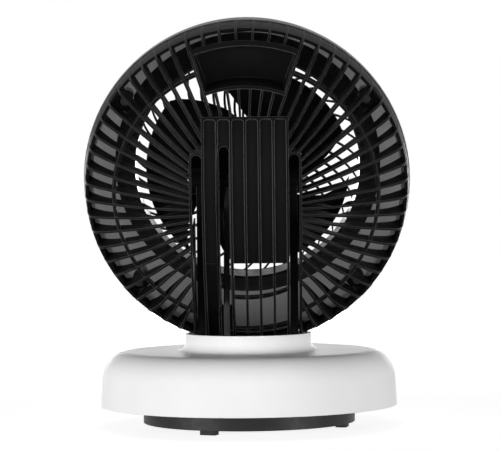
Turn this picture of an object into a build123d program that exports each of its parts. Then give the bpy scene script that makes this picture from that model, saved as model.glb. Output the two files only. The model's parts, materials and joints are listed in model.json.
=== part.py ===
from build123d import *
import os
from math import acos, asin, atan2, cos, degrees, hypot, pi, radians, sin, sqrt, tan

# Air circulator fan: a ball-shaped head that tilts on a fork above a round swivelling base.
# Millimetres, +Z up, the outlet faces -Y, and the origin is on the floor under the swivel.
# Head pieces are drawn in the head's own frame: its origin is on the tilt axis, +Y runs
# back along the fan's axis and +Z is up. head_place() tips that frame to the rest tilt.
# Angles round the fan's axis count from straight up towards +X.

# ---------------------------------------------------------------- stand, driving sizes
PAD_H = 3.5  # rubber feet
PAD_W = 12.0
PAD_D = 8.0
PAD_INSET = 8.0  # from the plate's edge to the pads' middles
PAD_ANGLES = (66.8, 166.4)  # two pads; the other two are point mirrored
PAD_LAND_R = 7.0
PAD_ROUND = 1.5
PLATE_R = 77.5  # foot plate
PLATE_H = 11.5
PLATE_WALL = 3.0
PLATE_STEP = 1.2
GLIDE_T = 1.0  # low friction washer between foot and base
GLIDE_R = 32.0
GLIDE_FIT = 0.5
POST_R = 12.0  # hollow post that the base turns on
POST_BORE = 8.0
POST_COLLAR = 4.0
RUNNING = 0.08  # radial clearance of a turning fit
KEEPER_R = 17.5  # washer that holds the base down on the post
KEEPER_T = 1.2
KEEPER_GAP = 0.1
CIRCLIP_T = 1.2
CIRCLIP_R = 14.5
CIRCLIP_OPEN = 2.5
GEAR_TEETH = 36
PINION_TEETH = 12
GEAR_MODULE = 1.0
GEAR_T = 5.0
GEAR_BACKLASH = 0.35
GEAR_PRESSURE = 20.0
GEAR_ROOT = 1.3  # below and above the pitch circle, in modules
GEAR_TIP = 0.95

BASE_R = 108.3  # white cover, at its lower edge
SIDE_DRAFT = 1.0  # how far the side leans in on its way up
SHOULDER_W = 18.3  # from the side in to the plateau
SHOULDER_Z = 37.0
SHOULDER_ROUND = (0.72, 0.69)  # where the shoulder's arc passes, as shares of its width and rise
PLATEAU_Z = 55.5
NECK_R = 46.3
NECK_FILLET = 6.5
COVER_WALL = 2.6
COVER_EDGE_Z = 15.8
FLOOR_T = 2.4  # black pan that closes the cover from below
FLOOR_RIM_T = 2.0
FLOOR_RIM_H = 5.0
FLOOR_GAP = 0.5
HUB_R = 17.0
HUB_H = 6.0
COVER_SCREW_INSET = 20.3  # ring of screws between floor and cover, in from the edge
COVER_SCREW_ANGLE = 15.0
COVER_BOSS_R = 4.5
SCREW_R = 1.6
SCREW_HEAD_R = 3.0
SCREW_HEAD_H = 1.8
SCREW_L = 12.0

# ---------------------------------------------------------------- fork and tilt axis
HEAD_TILT = 13.8  # the outlet looks up by this much at rest
BALL_R = 119.7
BALL_RISE = 4.3  # the ball's lowest point above the plateau
SADDLE_GAP = 1.0  # between the ball and the dish in the neck
SADDLE_WALL = 2.4
ARM_GAP = 0.8  # either side of a fork arm in its slot
ARM_T = 5.8
ARM_TOP_W = 17.0
ARM_FOOT_W = 23.0
ARM_TAPER_RISE = 6.0  # above the neck, where an arm starts to narrow
ARM_BOSS_R = 9.5
ARM_BOSS_H = 4.2
YOKE_FLANGE = 15.7  # past the neck, inside the base
YOKE_T = 4.0
YOKE_DROP = 8.9  # below the underside of the plateau
YOKE_SCREW_INSET = 7.0
YOKE_SCREW_ANGLE = 45.0
YOKE_HOLE_R = 26.0
PIVOT_R = 4.0
PIVOT_HEAD_R = 6.5
PIVOT_HEAD_T = 2.5
PIVOT_SLOT = (1.4, 10.0, 1.3)  # driver slot: width, length and depth
BUSH_WALL = 1.5
FRICTION_T = 1.1
FRICTION_GAP = 0.4
LEAD_R = 2.2
LEAD_BEND_DEPTH = 16.7  # inside the ball's skin
LEAD_FILLET = 16.0
LEAD_GLAND_INSET = 9.3  # from the neck's wall
LEAD_GLAND_WALL = 2.8
LEAD_GLAND_FIT = 0.2
LEAD_GLAND_SPAN = (4.0, 3.5)  # below and above the lead's end
LEAD_DROP = 7.9  # it comes down straight over this much into its gland

# ---------------------------------------------------------------- controls and drive
KNOB_INSET = 17.0  # from the plateau's edge to the knob's middle
KNOB_R = 13.0
KNOB_H = 11.0
KNOB_LIFT = 0.8
KNOB_SHAFT_R = 3.0
KNOB_FLUTES = 12
KNOB_FLUTE_R = 1.3
KNOB_CAP = 3.0
KNOB_DRAFT = (0.8, 1.5)  # lean of the side and width of the rounded edge
KNOB_RIDGE = (0.9, 3.0)  # half width, and how far its inner end is from the middle
BUTTON_STEP = (27.0, 6.0)  # from the knob's middle to the button's
BUTTON_R = 5.5
BUTTON_RISE = 3.2
BUTTON_TRAVEL = 1.8
BUTTON_GAP = 0.3
BUTTON_COLLAR = 1.5
BUTTON_COLLAR_T = 2.2
BUTTON_EDGE = 0.8
BUTTON_SPRING_GAP = 2.5  # from the plunger's top to the cover, past the travel
BOARD_DROP = 16.9  # below the underside of the plateau
BOARD_W = 84.0
BOARD_D = 30.0
BOARD_T = 1.6
BOARD_AHEAD = 8.0  # in front of the knob's middle
BOARD_STAND_R = 3.0
BOARD_PART_X = (-34.0, -22.0)
BOARD_PART_H = 5.0
SWITCH_W = 17.0
SWITCH_H = 10.0
SWITCH_FLOOR = 3.0
SWING_MOTOR_R = 21.0
SWING_MOTOR_H = 13.0
SWING_GAP = 1.0  # over the gears
SWING_EAR = 9.0
SWING_EAR_T = 1.5
SWING_SHAFT_R = 2.0
SWING_SHAFT_IN = 7.0
SWING_POST_R = 4.0
GLAND_ANGLE = -60.0
GLAND_INSET = 18.3
GLAND_R = 5.0
GLAND_BORE = 3.5
GLAND_FLANGE = 1.8

# ---------------------------------------------------------------- head shell and basket
RIM_STEP = 0.5  # the rear basket's rim, in from the ball
RIM_H = 4.0
RIM_W = 3.5
DOME_SHORT = 32.2  # the dome is this much shallower than a half ball
CROWN_EASE = 20.8  # its crown is flatter than the rim by this much in radius
RIB_COUNT = 60
RIB_T = 1.5
RIB_INSET = 0.4
RIB_INNER_R = 26.0
RIB_FOOT = (4.8, 7.0)  # inner edge of a rib at the rim: inset and depth
RIB_WAIST_IN = (39.2, 39.0)  # half way: in from the rim and from the pole
RIB_HEEL_IN = 12.5  # at the middle: in from the pole
HOOP_INSET = 26.6  # the hoop's outer edge, in from the rim
BAR_INSETS = (20.6, 47.1)  # the column's two curved bars, likewise
HOOP_T = 2.3
HOOP_RECESS = 3.0
HOOP_DEPTH = 6.0

COLUMN_PITCH = 9.8  # seven upright ribs
COLUMN_RIB_T = 1.6
COLUMN_TOP = 62.0
COLUMN_HEAD_DEPTH = 12.0
PANEL_FOOT = -42.0
PANEL_T = 3.5
PANEL_RECESS = 1.5
PANEL_LOW_RECESS = 2.3
PANEL_LOW_T = 1.8
PANEL_LOW_INSET = 9.2  # the low panels stop this far short of the rim
BAY_ROUND = 2.2
SLOT_WALL = 1.6
SLOT_TOP = 36.0
LEAD_SLOT_W = 6.8
LEAD_SLOT_IN = 45.0
LEAD_ANGLE = 64.3  # the lead leaves the ball this far below level, towards the rear
TILT_RANGE = 76.0
LEAD_SLACK = 0.6  # degrees of slot past the lead at either end of the travel

POCKET_RIM = 13.4  # carrying recess: a sector this far in from the rim
POCKET_SPAN = 26.4
POCKET_HALF_ANGLE = 22.0
POCKET_FLOOR_Y = 22.0
POCKET_WALL = 1.9
POCKET_LIP = 3.0
POCKET_INSET = 0.15

BOSS_ANGLES = (54.0, 132.0, -132.0, -54.0)
BOSS_INSET = 8.2  # from the rim's inner wall
BOSS_R = 5.6
BOSS_TOP_Y = 20.0
BOSS_WELL = 5.0
SHELL_BOSS_LOW = -16.0
SHELL_BOSS_WEB = 2.4
WEB_CLEAR = 0.4
SHELL_SCREW_L = 26.0

SHELL_WALL = 2.4
FRONT_Y = -72.0
LIP_W = 4.6  # rolled edge round the outlet
SPIGOT_T = 2.2
SPIGOT_GAP = 0.2
SPIGOT_H = 3.0
SPIGOT_DROP = 4.0

DUCT_STEP = 6.3  # from the lip in to the throat
DUCT_LENGTH = 28.0
DUCT_T = 1.8
DUCT_FLARE = 10.0
DUCT_SKIRT = (12.4, 2.4)  # depth behind the front, and thickness

GRILLE_GAP = 0.6  # between the guard's ring and the shell's edge
GRILLE_FIT = 0.2
GRILLE_RING_W = 7.5
GRILLE_RING_T = 2.5
GRILLE_SPIRALS = 36
GRILLE_RIB_T = 2.0
GRILLE_RIB_H = 4.0
GRILLE_HUB_R = 23.0
GRILLE_RISE = 7.0
GRILLE_TWIST = 31.0
GRILLE_BOW = 6.0  # degrees by which a rib bows at half way
CAP_GAP = 0.1
CAP_DOME = 0.8
CLIP_ANGLE = 4.0
CLIP_Y = (-26.0, -22.0, -8.0)  # tip, back of the hook, foot
CLIP_HALF = (10.0, 7.0)  # tongue and hook
CLIP_T = 1.8
CLIP_HOOK = 2.9
CLIP_INSET = 6.2  # from the rim's inner wall

# ---------------------------------------------------------------- impeller and motor
TIP_GAP = 9.7  # between the blades and the throat
BLADES = 3
BLADE_T = 1.8
BLADE_Y = -58.0
BLADE_PHASE = -8.0
BLADE_ROOT_R = 22.0
# Edges: angle at the root, then radius and angle half way, then angle at the tip.
BLADE_LEAD = (45.0, 57.0, 38.0, 61.0)
BLADE_TRAIL = (-66.0, 52.0, -53.0, -31.5)
# Place, half width, rise and camber of the sections the blade's twist is lofted through.
BLADE_SLABS = ((8.0, 30.0, 15.0, 1.0), (48.0, 76.0, 16.0, 6.0), (84.0, 80.0, 13.0, 6.0))
HUB_CUP_R = 24.0
HUB_CUP_Y = (-70.0, -49.0)
HUB_CUP_WALL = 2.2
HUB_CUP_ROUND = 3.0
HUB_SLEEVE = (7.0, 14.0)  # sleeve on the shaft: radius and length
SHAFT_R = 3.0
SHAFT_Y = (-77.0, -20.0)
NUT_R = 7.5
NUT_H = 6.0
MOTOR_R = 29.0
MOTOR_Y = (-46.5, -16.0)
MOTOR_CHAMFER = 2.0
MOTOR_NOSE_R = 11.0
MOTOR_NOSE_H = 2.0
MOUNT_R = 31.0
MOUNT_T = 4.0
CHEEK_T = 3.2
CHEEK_HALF = 25.0
CHEEK_END = 40.0
CHEEK_WINDOW = (16.0, 34.0, 15.0)  # from depth to depth, and half height
MOUNT_BOSS_R = 9.5
MOUNT_BOSS_H = 3.9
MOUNT_POST_R = 3.6
MOUNT_POST_H = 6.0
MOUNT_POST_Z = 20.0
SEAT_CLEAR = 0.3
DRUM_R = 6.0
DRUM_X = 9.0
DRUM_ARM = (4.0, 3.0)

# ---------------------------------------------------------------- derived
PLATE_TOP = PAD_H + PLATE_H
FLOOR_Z = PLATE_TOP + GLIDE_T
FLOOR_TOP = FLOOR_Z + FLOOR_T
HUB_TOP = FLOOR_Z + HUB_H
KEEPER_Z = HUB_TOP + KEEPER_GAP
GEAR_Z = KEEPER_Z + KEEPER_T + CIRCLIP_T
POST_TOP = GEAR_Z + GEAR_T
SWING_Z = POST_TOP + SWING_GAP
GEAR_PITCH_R = GEAR_MODULE * GEAR_TEETH / 2
PINION_PITCH_R = GEAR_MODULE * PINION_TEETH / 2
DRIVE_X = -(GEAR_PITCH_R + PINION_PITCH_R)
PIVOT_Z = PLATEAU_Z + BALL_RISE + BALL_R
DISH_R = BALL_R + SADDLE_GAP
NECK_TOP_Z = PIVOT_Z - sqrt(DISH_R**2 - NECK_R**2)
BASE_SIDE_R = BASE_R - SIDE_DRAFT
PLATEAU_R = BASE_SIDE_R - SHOULDER_W
COVER_UNDER = PLATEAU_Z - COVER_WALL
COVER_SCREW_R = BASE_R - COVER_SCREW_INSET
YOKE_R = NECK_R + YOKE_FLANGE
YOKE_Z = COVER_UNDER - YOKE_DROP
YOKE_SCREW_R = YOKE_R - YOKE_SCREW_INSET
KNOB_Y = KNOB_INSET - PLATEAU_R
BUTTON_X = BUTTON_STEP[0]
BUTTON_Y = KNOB_Y + BUTTON_STEP[1]
BOARD_Z = COVER_UNDER - BOARD_DROP
BOARD_TOP = BOARD_Z + BOARD_T
BOARD_STAND_Y = KNOB_Y + 2 * BOARD_STAND_R
KNOB_TOP = PLATEAU_Z + KNOB_LIFT + KNOB_H
PLUNGER_Z = COVER_UNDER - BUTTON_TRAVEL - BUTTON_SPRING_GAP
COLUMN_HALF = 3 * COLUMN_PITCH + COLUMN_RIB_T / 2
SLOT_IN = COLUMN_HALF
ARM_IN = SLOT_IN + ARM_GAP
SLOT_OUT = ARM_IN + ARM_T + ARM_GAP
ARM_BOSS_OUT = ARM_IN + ARM_T + ARM_BOSS_H
MOUNT_BOSS_X = ARM_IN - FRICTION_T - FRICTION_GAP
MOUNT_CHEEK_X = (MOUNT_BOSS_X - MOUNT_BOSS_H - CHEEK_T, MOUNT_BOSS_X - MOUNT_BOSS_H)
MOUNT_POST_X = sum(MOUNT_CHEEK_X) / 2
LEAD_X = 1.5 * COLUMN_PITCH
LEAD_BEND_R = BALL_R - LEAD_BEND_DEPTH
LEAD_GLAND_Y = NECK_R - LEAD_GLAND_INSET
LEAD_END_Z = PIVOT_Z - sqrt((DISH_R + SADDLE_WALL) ** 2 - LEAD_GLAND_Y**2)
RIM_R = BALL_R - RIM_STEP
POLE_Y = RIM_R - DOME_SHORT
CROWN_R = RIM_R + CROWN_EASE
RIB_FOOT_IN = (RIM_R - RIB_FOOT[0], RIB_FOOT[1])
RIB_WAIST = (RIM_R - RIB_WAIST_IN[0], POLE_Y - RIB_WAIST_IN[1])
RIB_HEEL_Y = POLE_Y - RIB_HEEL_IN
HOOP_R = RIM_R - HOOP_INSET
PANEL_LOW_END = PANEL_LOW_INSET - RIM_R
POCKET_R = (RIM_R - POCKET_RIM - POCKET_SPAN, RIM_R - POCKET_RIM)
CROWN_Y = POLE_Y - CROWN_R
RIM_RISE = RIM_H - CROWN_Y
KNUCKLE_R = (CROWN_R**2 - RIM_R**2 - RIM_RISE**2) / (2 * (CROWN_R - RIM_R))
KNUCKLE_X = RIM_R - KNUCKLE_R
KNUCKLE_ANGLE = atan2(KNUCKLE_X, RIM_RISE)
RIM_IN = RIM_R - RIM_W
BOSS_RING_R = RIM_IN - BOSS_INSET
SPIGOT_IN = RIM_IN - SPIGOT_GAP - SPIGOT_T
SHELL_IN = BALL_R - SHELL_WALL
SHELL_FRONT_R = sqrt(BALL_R**2 - FRONT_Y**2)
LIP_R = SHELL_FRONT_R - LIP_W
LIP_Y = FRONT_Y + SHELL_WALL
DUCT_R = LIP_R - DUCT_STEP
DUCT_Y = FRONT_Y + DUCT_LENGTH
DUCT_FLARE_Y = FRONT_Y + DUCT_FLARE
DUCT_SKIRT_Y = FRONT_Y + DUCT_SKIRT[0]
GRILLE_RING_R = SHELL_FRONT_R - GRILLE_GAP
GRILLE_MID_R = (GRILLE_HUB_R + GRILLE_RING_R) / 2
IMPELLER_R = DUCT_R - TIP_GAP


# ---------------------------------------------------------------- drawing helpers
def rod(radius, low, high):
    """Upright cylinder between two heights."""
    return Pos(0, 0, low) * extrude(Circle(radius), high - low)


def tube(outer, inner, low, high):
    """Upright ring between two heights."""
    return Pos(0, 0, low) * extrude(Circle(outer) - Circle(inner), high - low)


def block(x, y, z):
    """Box from pairs of limits."""
    size = [b - a for a, b in (x, y, z)]
    return Pos(*((a + b) / 2 for a, b in (x, y, z))) * Box(*size)


def spun(points, axis=Axis.Z):
    """Solid of revolution; points are radius and height along the axis."""
    plane = Plane.XZ if axis == Axis.Z else Plane.XY
    return revolve(plane * make_face(Polyline(*points, close=True)), axis)


def turned(shape, angle):
    """A head piece drawn at the top (+Z) and turned round the fan's axis towards +X."""
    return Rot(0, angle, 0) * shape


def along_fan(radius, low, high, inner=0.0):
    """Cylinder or ring on the fan's axis between two depths."""
    face = Circle(radius) - Circle(inner) if inner else Circle(radius)
    return Rot(-90, 0, 0) * Pos(0, 0, low) * extrude(face, high - low)


def along_tilt(radius, low, high, inner=0.0):
    """Cylinder or ring on the tilt axis between two values of X."""
    face = Circle(radius) - Circle(inner) if inner else Circle(radius)
    return Rot(0, 90, 0) * Pos(0, 0, low) * extrude(face, high - low)


def both_sides(shape):
    """The shape and its mirror image across the middle."""
    return [shape, mirror(shape, Plane.YZ)]


def fused(pieces):
    """One solid from many that touch or overlap."""
    first, *others = pieces
    return first + others if others else first


def group(pieces):
    """Several loose solids in one node."""
    return Compound(children=[solid for piece in pieces for solid in piece.solids()])


def head_place(shape):
    """From the head's frame to the row frame, at the rest tilt."""
    return Pos(0, 0, PIVOT_Z) * Rot(-HEAD_TILT, 0, 0) * shape


# ---------------------------------------------------------------- the dome's profile
def skin_point(angle, inset=0.0):
    """Point of the dome's profile where its normal leans by angle, in radians."""
    side = 1 if angle >= 0 else -1
    if abs(angle) <= KNUCKLE_ANGLE:
        r = CROWN_R - inset
        return (r * sin(angle), CROWN_Y + r * cos(angle))
    r = KNUCKLE_R - inset
    return (side * KNUCKLE_X + r * sin(angle), RIM_H + r * cos(angle))


def skin_angle(radius, inset=0.0):
    """Lean of the profile's normal at a signed radius."""
    side = 1 if radius >= 0 else -1
    size = abs(radius)
    if size <= (CROWN_R - inset) * sin(KNUCKLE_ANGLE):
        return side * asin(size / (CROWN_R - inset))
    return side * asin(min(1.0, (size - KNUCKLE_X) / (KNUCKLE_R - inset)))


def skin_depth(radius, inset=0.0):
    """Depth of the dome's skin at a radius."""
    return skin_point(skin_angle(radius, inset), inset)[1]


def skin_curve(start, end, inset=0.0):
    """Arcs of the profile from one lean to another."""
    inside = [a for a in (-KNUCKLE_ANGLE, KNUCKLE_ANGLE) if min(start, end) < a < max(start, end)]
    knots = [start, *sorted(inside, reverse=end < start), end]
    arcs = []
    for a, b in zip(knots, knots[1:]):
        arcs.append(ThreePointArc(*(skin_point(t, inset) for t in (a, (a + b) / 2, b))))
    return arcs


def skin_face(high, low, outer, inner):
    """Strip of the profile between two insets, from one signed radius to another."""
    start, end = skin_angle(high), skin_angle(low)
    edges = skin_curve(start, end, outer) + skin_curve(end, start, inner)
    edges.append(Line(skin_point(end, outer), skin_point(end, inner)))
    edges.append(Line(skin_point(start, inner), skin_point(start, outer)))
    return make_face(edges)


def rib_inner_circle():
    """Centre and radius of the ribs' inner edge, through its foot, waist and heel."""
    (ax, ay), (bx, by), (cx, cy) = RIB_FOOT_IN, RIB_WAIST, (RIB_INNER_R, RIB_HEEL_Y)
    d = 2 * (ax * (by - cy) + bx * (cy - ay) + cx * (ay - by))
    a2, b2, c2 = ax**2 + ay**2, bx**2 + by**2, cx**2 + cy**2
    ux = (a2 * (by - cy) + b2 * (cy - ay) + c2 * (ay - by)) / d
    uy = (a2 * (cx - bx) + b2 * (ax - cx) + c2 * (bx - ax)) / d
    return ux, uy, hypot(ax - ux, ay - uy)


def inner_depth(radius, more=0.0):
    """Depth of the ribs' inner edge at a radius, drawn in by more."""
    ux, uy, r = rib_inner_circle()
    return uy + sqrt((r - more) ** 2 - (radius - ux) ** 2)


def rib_face(inset=RIB_INSET, heel=RIB_INNER_R, more=0.0):
    """Outline of one radial rib, radius along X and depth along Y."""
    top = skin_angle(heel, inset)
    rim = (RIM_R - inset, RIM_H)
    foot = (RIB_FOOT_IN[0] - more, inner_depth(RIB_FOOT_IN[0] - more, more))
    waist = (RIB_WAIST[0], inner_depth(RIB_WAIST[0], more))
    root = [rim, (rim[0], RIM_H / 2), (RIM_IN + 0.7, RIM_H / 2), foot]
    edges = skin_curve(top, pi / 2, inset)
    edges += [Line(a, b) for a, b in zip(root, root[1:])]
    edges.append(ThreePointArc(foot, waist, (heel, inner_depth(heel, more))))
    edges.append(Line((heel, inner_depth(heel, more)), skin_point(top, inset)))
    return make_face(edges)


# ---------------------------------------------------------------- rear basket
def slot_sketch(half_in, half_out, top):
    """Round-topped strip of a tilt slot, in X and Z, down past the rim."""
    width = half_out - half_in
    middle = (half_in + half_out) / 2
    straight = block((half_in, half_out), (0, POLE_Y + 5), (-RIM_R - 5, top - width / 2))
    crown = Pos(middle, 0, top - width / 2) * along_fan(width / 2, 0, POLE_Y + 5)
    return straight + crown


def rib_void():
    """Space that the radial ribs leave free for the column, slots and pocket."""
    bite = SLOT_WALL / 2
    slots = slot_sketch(SLOT_IN - bite, SLOT_OUT + bite, SLOT_TOP + bite)
    middle = block(
        (-COLUMN_HALF + bite, COLUMN_HALF - bite),
        (0, POLE_Y + 5),
        (-RIM_R - 5, COLUMN_TOP - bite),
    )
    rim_keep = along_fan(RIM_R + 5, -1, RIM_H)
    return fused([middle, *both_sides(slots), pocket_sector(bite)]) - rim_keep


def radial_ribs():
    """Sixty blades that stand on the rim and run to the column."""
    blade = extrude(Plane.XY * rib_face(), RIB_T / 2, both=True)
    void = rib_void()
    pitch = 360 / RIB_COUNT
    ribs = []
    for n in range(RIB_COUNT):
        rib = Rot(0, (n + 0.5) * pitch - 90, 0) * blade
        ribs += (rib - void).solids()
    return ribs


def rim_ring():
    """Ring at the parting line that carries the ribs."""
    return spun([(RIM_IN, 0), (RIM_R, 0), (RIM_R, RIM_H), (RIM_IN, RIM_H)], Axis.Y)


def hoop():
    """Thin hoop inside the ribs, open at the slots."""
    travel = fused(
        [
            *both_sides(slot_sketch(SLOT_IN - 0.2, SLOT_OUT + 0.2, SLOT_TOP)),
            lead_slot_cutter(),
            pocket_sector(POCKET_WALL / 2),
        ]
    )
    return (inner_ring(HOOP_R) - travel - column_foot()).solids()


def inner_ring(high):
    """Thin ring of a given outer radius, sunk under the dome's skin."""
    low = high - HOOP_T
    near = skin_depth((low + high) / 2) - HOOP_RECESS
    far = near - HOOP_DEPTH
    return spun([(low, far), (high, far), (high, near), (low, near)], Axis.Y)


def column_foot():
    """Space that the column's lower half takes up."""
    return block((-COLUMN_HALF, COLUMN_HALF), (0, POLE_Y), (-RIM_R, 0))


def lead_slot_cutter():
    """Long round-ended opening that the lead sweeps as the head tilts."""
    r, reach = LEAD_SLOT_W / 2, BALL_R + 10
    low = LEAD_ANGLE - HEAD_TILT + LEAD_SLACK
    high = LEAD_ANGLE - HEAD_TILT - TILT_RANGE - LEAD_SLACK
    ends = [Rot(-a, 0, 0) * Pos(LEAD_X, 0, 0) * along_fan(r, LEAD_SLOT_IN, reach) for a in (low, high)]
    leans = [radians(a) for a in (low, (low + high) / 2, high)]
    spots = [(reach * cos(a), -reach * sin(a)) for a in leans]
    hub = [(LEAD_SLOT_IN * cos(a), -LEAD_SLOT_IN * sin(a)) for a in leans]
    edges = [ThreePointArc(*spots), ThreePointArc(*hub), Line(spots[0], hub[0]), Line(spots[2], hub[2])]
    plane = Plane(origin=(LEAD_X - r, 0, 0), x_dir=(0, 1, 0), z_dir=(1, 0, 0))
    return fused([extrude(plane * make_face(edges), LEAD_SLOT_W), *ends])


def upright(face, x_low, x_high):
    """A profile drawn as height and depth, made solid between two values of X."""
    plane = Plane(origin=(x_low, 0, 0), x_dir=(0, 0, 1), z_dir=(-1, 0, 0))
    return extrude(plane * face, -(x_high - x_low))


def bay(n):
    """Limits in X of a bay between the upright ribs, 0 nearest +X."""
    high = (3 - n) * COLUMN_PITCH - COLUMN_RIB_T / 2
    return high - COLUMN_PITCH + COLUMN_RIB_T, high


def column_panel():
    """Closed back of the column, with a round-cornered recess in each bay."""
    slab = upright(skin_face(COLUMN_TOP, PANEL_FOOT, 0, PANEL_T), -COLUMN_HALF, COLUMN_HALF)
    top = COLUMN_TOP - COLUMN_RIB_T
    beyond = 2 * PANEL_RECESS
    for n in range(6):
        hole = upright(skin_face(top, PANEL_FOOT - PANEL_T, -beyond, PANEL_RECESS), *bay(n))
        corners = hole.edges().filter_by(lambda e: e.length < 2 * beyond).group_by(Axis.Z)[-1]
        corners = corners.filter_by(lambda e: abs(e.tangent_at(0.5).X) < 0.5)
        slab -= fillet(corners, BAY_ROUND)
    return slab


def column_rib(x):
    """Upright rib below the panel; the outer pair run the whole height as slot walls."""
    outer = abs(x) > 2.5 * COLUMN_PITCH
    high = SLOT_TOP if outer else PANEL_FOOT + 2
    start, end = skin_angle(high), -pi / 2
    foot = (-RIB_FOOT_IN[0], RIB_FOOT_IN[1])
    heel = (-RIB_INNER_R, RIB_HEEL_Y)
    rim = (-RIM_R, RIM_H)
    root = [rim, (-RIM_R, RIM_H / 2), (-RIM_IN - 0.7, RIM_H / 2), foot]
    edges = skin_curve(start, end)
    edges += [Line(a, b) for a, b in zip(root, root[1:])]
    if outer:
        edges.append(ThreePointArc(foot, (-RIB_WAIST[0], RIB_WAIST[1]), heel))
        edges += [Line(heel, (high, RIB_HEEL_Y - 4)), Line((high, RIB_HEEL_Y - 4), skin_point(start))]
    else:
        low = (high, inner_depth(-high))
        edges.append(ThreePointArc(foot, (-RIB_WAIST[0], RIB_WAIST[1]), low))
        edges.append(Line(low, skin_point(start)))
    return upright(make_face(edges), x - COLUMN_RIB_T / 2, x + COLUMN_RIB_T / 2)


def column():
    """Panel, upright ribs and the low panels of the first two bays."""
    ribs = [column_rib(n * COLUMN_PITCH) for n in range(-3, 4)]
    low_face = skin_face(PANEL_FOOT + 1, PANEL_LOW_END, PANEL_LOW_RECESS, PANEL_LOW_RECESS + PANEL_LOW_T)
    low = upright(low_face, bay(1)[0] - 0.5, bay(0)[1] + 0.5)
    head_face = skin_face(COLUMN_TOP, COLUMN_TOP - COLUMN_RIB_T, 0, COLUMN_HEAD_DEPTH)
    head_wall = upright(head_face, -COLUMN_HALF, COLUMN_HALF)
    bars = [inner_ring(RIM_R - inset) & column_foot() for inset in BAR_INSETS]
    whole = fused([column_panel(), head_wall, low, *ribs, *bars]) & Sphere(RIM_R - RIB_INSET)
    return whole - lead_slot_cutter()


def slot_walls():
    """Outer walls and round tops of the two tilt slots, cut to the dome."""
    shell = revolve(Plane.XY * rib_face(RIB_INSET - 0.15, SLOT_IN - 6, 0.6), Axis.Y)
    outer = slot_sketch(SLOT_IN - SLOT_WALL, SLOT_OUT + SLOT_WALL, SLOT_TOP + SLOT_WALL)
    inner = slot_sketch(SLOT_IN, SLOT_OUT, SLOT_TOP)
    low_inner = block((0, SLOT_IN), (0, POLE_Y + 5), (-RIM_R - 5, SLOT_TOP - 6))
    return both_sides((outer - inner - low_inner) & shell)


def pocket_sector(shrink=0.0, deep=POCKET_FLOOR_Y):
    """Annular sector of the carrying recess, drawn in by shrink on every side."""
    low, high = POCKET_R[0] + shrink, POCKET_R[1] - shrink
    half = POCKET_HALF_ANGLE - degrees(shrink / high)
    ring = along_fan(high, deep, POLE_Y, inner=low)
    reach = 2 * high
    wedge = make_face(
        Polyline(
            (0, 0), (reach * sin(radians(half)), reach), (-reach * sin(radians(half)), reach), close=True
        )
    )
    spread = extrude(Plane(origin=(0, POLE_Y, 0), x_dir=(1, 0, 0), z_dir=(0, -1, 0)) * wedge, POLE_Y)
    return ring & spread


def carrying_pocket():
    """Tray that the fingers go into, with a thick upper lip."""
    skin = skin_curve(0, pi / 2, POCKET_INSET)
    across = Line((RIM_R - POCKET_INSET, RIM_H), (0, RIM_H))
    close = [across, Line((0, RIM_H), skin_point(0, POCKET_INSET))]
    dome = revolve(Plane.XY * make_face(skin + close), Axis.Y)
    hollow = pocket_sector(POCKET_WALL, POCKET_FLOOR_Y + POCKET_WALL)
    lip = along_fan(POCKET_R[1], 0, POLE_Y, inner=POCKET_R[1] - POCKET_LIP)
    return (pocket_sector() - (hollow - lip)) & dome


def basket_bosses():
    """Screw posts between two ribs, and the webs that close their bays."""
    posts = []
    for angle in BOSS_ANGLES:
        post = Pos(0, 0, BOSS_RING_R) * along_fan(BOSS_R, 0.5, BOSS_TOP_Y)
        well = along_fan(SCREW_HEAD_R + SEAT_CLEAR, BOSS_TOP_Y - BOSS_WELL, BOSS_TOP_Y + 1)
        well = Pos(0, 0, BOSS_RING_R) * well
        hole = Pos(0, 0, BOSS_RING_R) * along_fan(SCREW_R + SEAT_CLEAR, 0, BOSS_TOP_Y)
        cover = block((-5.4, 5.4), (BOSS_TOP_Y - 2, BOSS_TOP_Y), (BOSS_RING_R - 6.5, BOSS_RING_R + 9))
        posts.append(turned(post + cover - well - hole, angle))
    return posts


def mount_posts():
    """Four posts on the back of the panel that carry the motor mount."""
    end = skin_depth(MOUNT_POST_Z) - PANEL_T + 1
    post = along_fan(MOUNT_POST_R, CHEEK_END, end) - along_fan(SCREW_R, CHEEK_END, CHEEK_END + SCREW_L)
    return [place * post for place in mount_spots()]


def mount_spots():
    """Where the mount meets the basket's four posts."""
    return [Pos(x, 0, z) for x in (-MOUNT_POST_X, MOUNT_POST_X) for z in (-MOUNT_POST_Z, MOUNT_POST_Z)]


def rear_grille():
    """The whole domed basket as one moulding."""
    pieces = [rim_ring(), column(), carrying_pocket()]
    pieces += radial_ribs() + hoop() + slot_walls() + basket_bosses() + mount_posts()
    return fused(pieces)


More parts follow.
